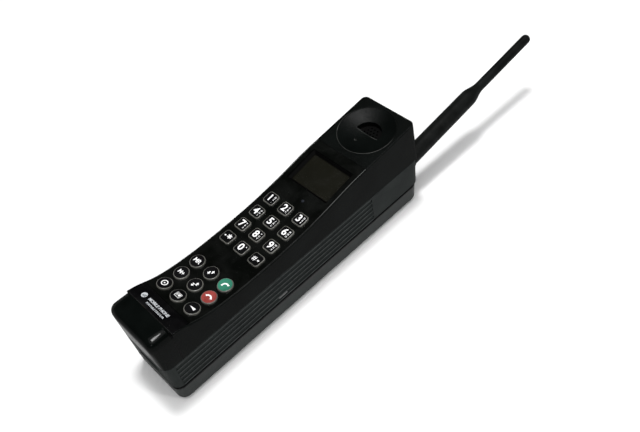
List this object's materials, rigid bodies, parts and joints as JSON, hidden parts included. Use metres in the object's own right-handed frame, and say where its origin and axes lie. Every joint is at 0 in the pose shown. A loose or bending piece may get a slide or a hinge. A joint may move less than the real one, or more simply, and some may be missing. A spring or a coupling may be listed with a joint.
{
  "type": "early mobile brick phone",
  "caption": "Tall black handheld phone with a curved keypad face, round earpiece dish, small display, ribbed sides, slim clip-on battery and thick screw-in antenna.",
  "frame": {"origin": "centre of the flat back of the battery, on which the phone lies", "axes": "+Z out of the keypad, +Y up the body to the earpiece and the antenna, +X to the right seen from the keypad"},
  "size_m": [0.044, 0.332, 0.066],
  "materials": {
    "housing": "satin near-black moulded plastic",
    "overlay": "glossy black panel",
    "label": "black strip with plain lettering",
    "key": "translucent grey key with a black top",
    "mat": "milky silicone",
    "board": "green circuit board",
    "chip": "black moulded packages",
    "bezel": "matt black",
    "window": "clear window",
    "display": "dark olive display",
    "guide": "clear light guide",
    "white_plastic": "white holder",
    "strip_rubber": "grey conductive rubber",
    "lamp": "clear light pipe",
    "capsule": "plain metal can",
    "soft_rubber": "soft black rubber",
    "grille": "matt black",
    "speaker": "steel basket",
    "brass": "turned brass",
    "antenna": "moulded black rubber",
    "cast_metal": "cast frame",
    "tin": "tinned steel",
    "sounder": "black moulded sounder",
    "battery": "satin near-black moulded plastic",
    "cell": "sleeved cells",
    "gold": "plated pads",
    "catch": "satin black",
    "spring_steel": "bright steel",
    "block": "black moulded block",
    "contact": "plated spring metal"
  },
  "bodies": {
    "phone_body": {"front_housing": "housing", "rear_housing": "housing", "face_panel": "overlay", "label_plate": "label", "keypad_mat": "mat", "keypad_board": "board", "logic_board": "board", "rf_board": "board", "logic_chips": "chip", "display_bezel": "bezel", "display_window": "window", "lcd_glass": "display", "light_guide": "guide", "lcd_frame": "white_plastic", "elastomer_strips": "strip_rubber", "status_led": "lamp", "microphone": "capsule", "rf_modules": "capsule", "microphone_boot": "soft_rubber", "earpiece_gasket": "soft_rubber", "earpiece_grille": "grille", "earpiece_speaker": "speaker", "antenna_socket": "brass", "chassis": "cast_metal", "shield_can": "tin", "ringer": "sounder", "latch_spring": "spring_steel", "housing_screws": "spring_steel", "contact_block": "block", "accessory_connector": "block", "contact_springs": "contact"},
    "key_1_body": {"key_1": "key"},
    "key_2_body": {"key_2": "key"},
    "key_3_body": {"key_3": "key"},
    "key_4_body": {"key_4": "key"},
    "key_5_body": {"key_5": "key"},
    "key_6_body": {"key_6": "key"},
    "key_7_body": {"key_7": "key"},
    "key_8_body": {"key_8": "key"},
    "key_9_body": {"key_9": "key"},
    "key_star_body": {"key_star": "key"},
    "key_0_body": {"key_0": "key"},
    "key_hash_body": {"key_hash": "key"},
    "key_recall_body": {"key_recall": "key"},
    "key_up_body": {"key_up": "key"},
    "key_call_body": {"key_call": "key"},
    "key_store_body": {"key_store": "key"},
    "key_down_body": {"key_down": "key"},
    "key_end_body": {"key_end": "key"},
    "key_power_body": {"key_power": "key"},
    "key_message_body": {"key_message": "key"},
    "key_volume_body": {"key_volume": "key"},
    "battery_pack": {"battery_case": "battery", "battery_cover": "battery", "battery_cells": "cell", "battery_contacts": "gold"},
    "release_catch": {"battery_latch": "catch"},
    "antenna_washer": {"antenna_seal": "soft_rubber"},
    "antenna": {"antenna_whip": "antenna", "antenna_stud": "brass"}
  },
  "joints": [
    {"name": "key_1_press", "type": "slide", "parent": "phone_body", "child": "key_1_body", "axis": [0, 0.1344, -0.9909], "range_m": [0, 0.001], "stiffness_N_per_m": 1500},
    {"name": "key_2_press", "type": "slide", "parent": "phone_body", "child": "key_2_body", "axis": [0, 0.1344, -0.9909], "range_m": [0, 0.001], "stiffness_N_per_m": 1500},
    {"name": "key_3_press", "type": "slide", "parent": "phone_body", "child": "key_3_body", "axis": [0, 0.1344, -0.9909], "range_m": [0, 0.001], "stiffness_N_per_m": 1500},
    {"name": "key_4_press", "type": "slide", "parent": "phone_body", "child": "key_4_body", "axis": [0, 0.0899, -0.996], "range_m": [0, 0.001], "stiffness_N_per_m": 1500},
    {"name": "key_5_press", "type": "slide", "parent": "phone_body", "child": "key_5_body", "axis": [0, 0.0899, -0.996], "range_m": [0, 0.001], "stiffness_N_per_m": 1500},
    {"name": "key_6_press", "type": "slide", "parent": "phone_body", "child": "key_6_body", "axis": [0, 0.0899, -0.996], "range_m": [0, 0.001], "stiffness_N_per_m": 1500},
    {"name": "key_7_press", "type": "slide", "parent": "phone_body", "child": "key_7_body", "axis": [0, 0.0574, -0.9984], "range_m": [0, 0.001], "stiffness_N_per_m": 1500},
    {"name": "key_8_press", "type": "slide", "parent": "phone_body", "child": "key_8_body", "axis": [0, 0.0574, -0.9984], "range_m": [0, 0.001], "stiffness_N_per_m": 1500},
    {"name": "key_9_press", "type": "slide", "parent": "phone_body", "child": "key_9_body", "axis": [0, 0.0574, -0.9984], "range_m": [0, 0.001], "stiffness_N_per_m": 1500},
    {"name": "key_star_press", "type": "slide", "parent": "phone_body", "child": "key_star_body", "axis": [0, 0.0328, -0.9995], "range_m": [0, 0.001], "stiffness_N_per_m": 1500},
    {"name": "key_0_press", "type": "slide", "parent": "phone_body", "child": "key_0_body", "axis": [0, 0.0328, -0.9995], "range_m": [0, 0.001], "stiffness_N_per_m": 1500},
    {"name": "key_hash_press", "type": "slide", "parent": "phone_body", "child": "key_hash_body", "axis": [0, 0.0328, -0.9995], "range_m": [0, 0.001], "stiffness_N_per_m": 1500},
    {"name": "key_recall_press", "type": "slide", "parent": "phone_body", "child": "key_recall_body", "axis": [0, -0.0504, -0.9987], "range_m": [0, 0.001], "stiffness_N_per_m": 1500},
    {"name": "key_up_press", "type": "slide", "parent": "phone_body", "child": "key_up_body", "axis": [0, -0.0504, -0.9987], "range_m": [0, 0.001], "stiffness_N_per_m": 1500},
    {"name": "key_call_press", "type": "slide", "parent": "phone_body", "child": "key_call_body", "axis": [0, -0.0504, -0.9987], "range_m": [0, 0.001], "stiffness_N_per_m": 1500},
    {"name": "key_store_press", "type": "slide", "parent": "phone_body", "child": "key_store_body", "axis": [0, -0.1213, -0.9926], "range_m": [0, 0.001], "stiffness_N_per_m": 1500},
    {"name": "key_down_press", "type": "slide", "parent": "phone_body", "child": "key_down_body", "axis": [0, -0.1213, -0.9926], "range_m": [0, 0.001], "stiffness_N_per_m": 1500},
    {"name": "key_end_press", "type": "slide", "parent": "phone_body", "child": "key_end_body", "axis": [0, -0.1213, -0.9926], "range_m": [0, 0.001], "stiffness_N_per_m": 1500},
    {"name": "key_power_press", "type": "slide", "parent": "phone_body", "child": "key_power_body", "axis": [0, -0.2715, -0.9624], "range_m": [0, 0.001], "stiffness_N_per_m": 1500},
    {"name": "key_message_press", "type": "slide", "parent": "phone_body", "child": "key_message_body", "axis": [0, -0.2715, -0.9624], "range_m": [0, 0.001], "stiffness_N_per_m": 1500},
    {"name": "key_volume_press", "type": "slide", "parent": "phone_body", "child": "key_volume_body", "axis": [0, -0.2715, -0.9624], "range_m": [0, 0.001], "stiffness_N_per_m": 1500},
    {"name": "battery_slide", "type": "slide", "parent": "phone_body", "child": "battery_pack", "axis": [0, -1, 0], "range_m": [0, 0.008]},
    {"name": "catch_press", "type": "slide", "parent": "phone_body", "child": "release_catch", "axis": [-1, 0, 0], "range_m": [0, 0.002], "stiffness_N_per_m": 800},
    {"name": "antenna_lift", "type": "slide", "parent": "phone_body", "child": "antenna_washer", "axis": [0, 0.9882, 0.153], "range_m": [0, 0.0045]},
    {"name": "antenna_turn", "type": "hinge", "parent": "antenna_washer", "child": "antenna", "pos_m": [0.0116, 0.1026, 0.02635], "axis": [0, 0.9882, 0.153], "range_deg": [0, 2165]}
  ],
  "couplings": [
    {"joint": "antenna_turn", "follows": "antenna_lift", "rad_per_m": 8377.6}
  ]
}
